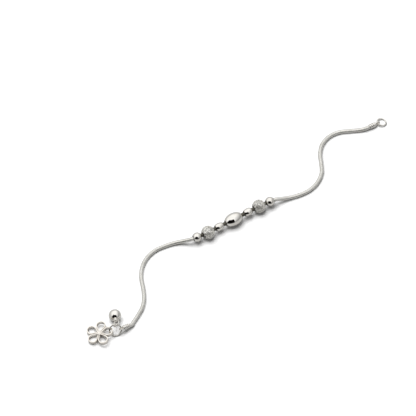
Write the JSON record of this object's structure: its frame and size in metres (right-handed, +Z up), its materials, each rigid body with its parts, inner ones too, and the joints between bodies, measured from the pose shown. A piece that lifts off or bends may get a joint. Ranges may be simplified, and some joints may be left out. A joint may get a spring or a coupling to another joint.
{
  "type": "payal anklet",
  "caption": "Silver payal anklet lying open in an S: beads strung on a snake chain, with a petal-shaped hook and a small bell at one end and a plain ring at the other.",
  "frame": {"origin": "middle of the underside of the anklet's box, on the surface that it lies on", "axes": "+X along the strip of beads from the hook's end towards the plain ring's end, +Z up from the surface, +Y away from the camera of the picture"},
  "size_m": [0.2346, 0.0586, 0.0083],
  "materials": {
    "polished_silver": "mirror polished silver",
    "sparkling_silver": "silver with a fine cut, sparkling surface",
    "chain_silver": "polished silver with fine ridges across",
    "cast_silver": "polished cast silver"
  },
  "bodies": {
    "root": {"snake_chain": "chain_silver", "oval_bead": "polished_silver", "drop_bead_left": "polished_silver", "drop_bead_right": "polished_silver", "textured_bead_left": "sparkling_silver", "textured_bead_right": "sparkling_silver", "plain_bead_left": "polished_silver", "plain_bead_right": "polished_silver", "end_cap_left": "polished_silver", "end_cap_right": "polished_silver", "end_ring": "polished_silver", "jump_ring": "polished_silver", "flower_hook": "cast_silver", "bell_shell": "polished_silver", "bell_pellet": "polished_silver"}
  },
  "joints": []
}
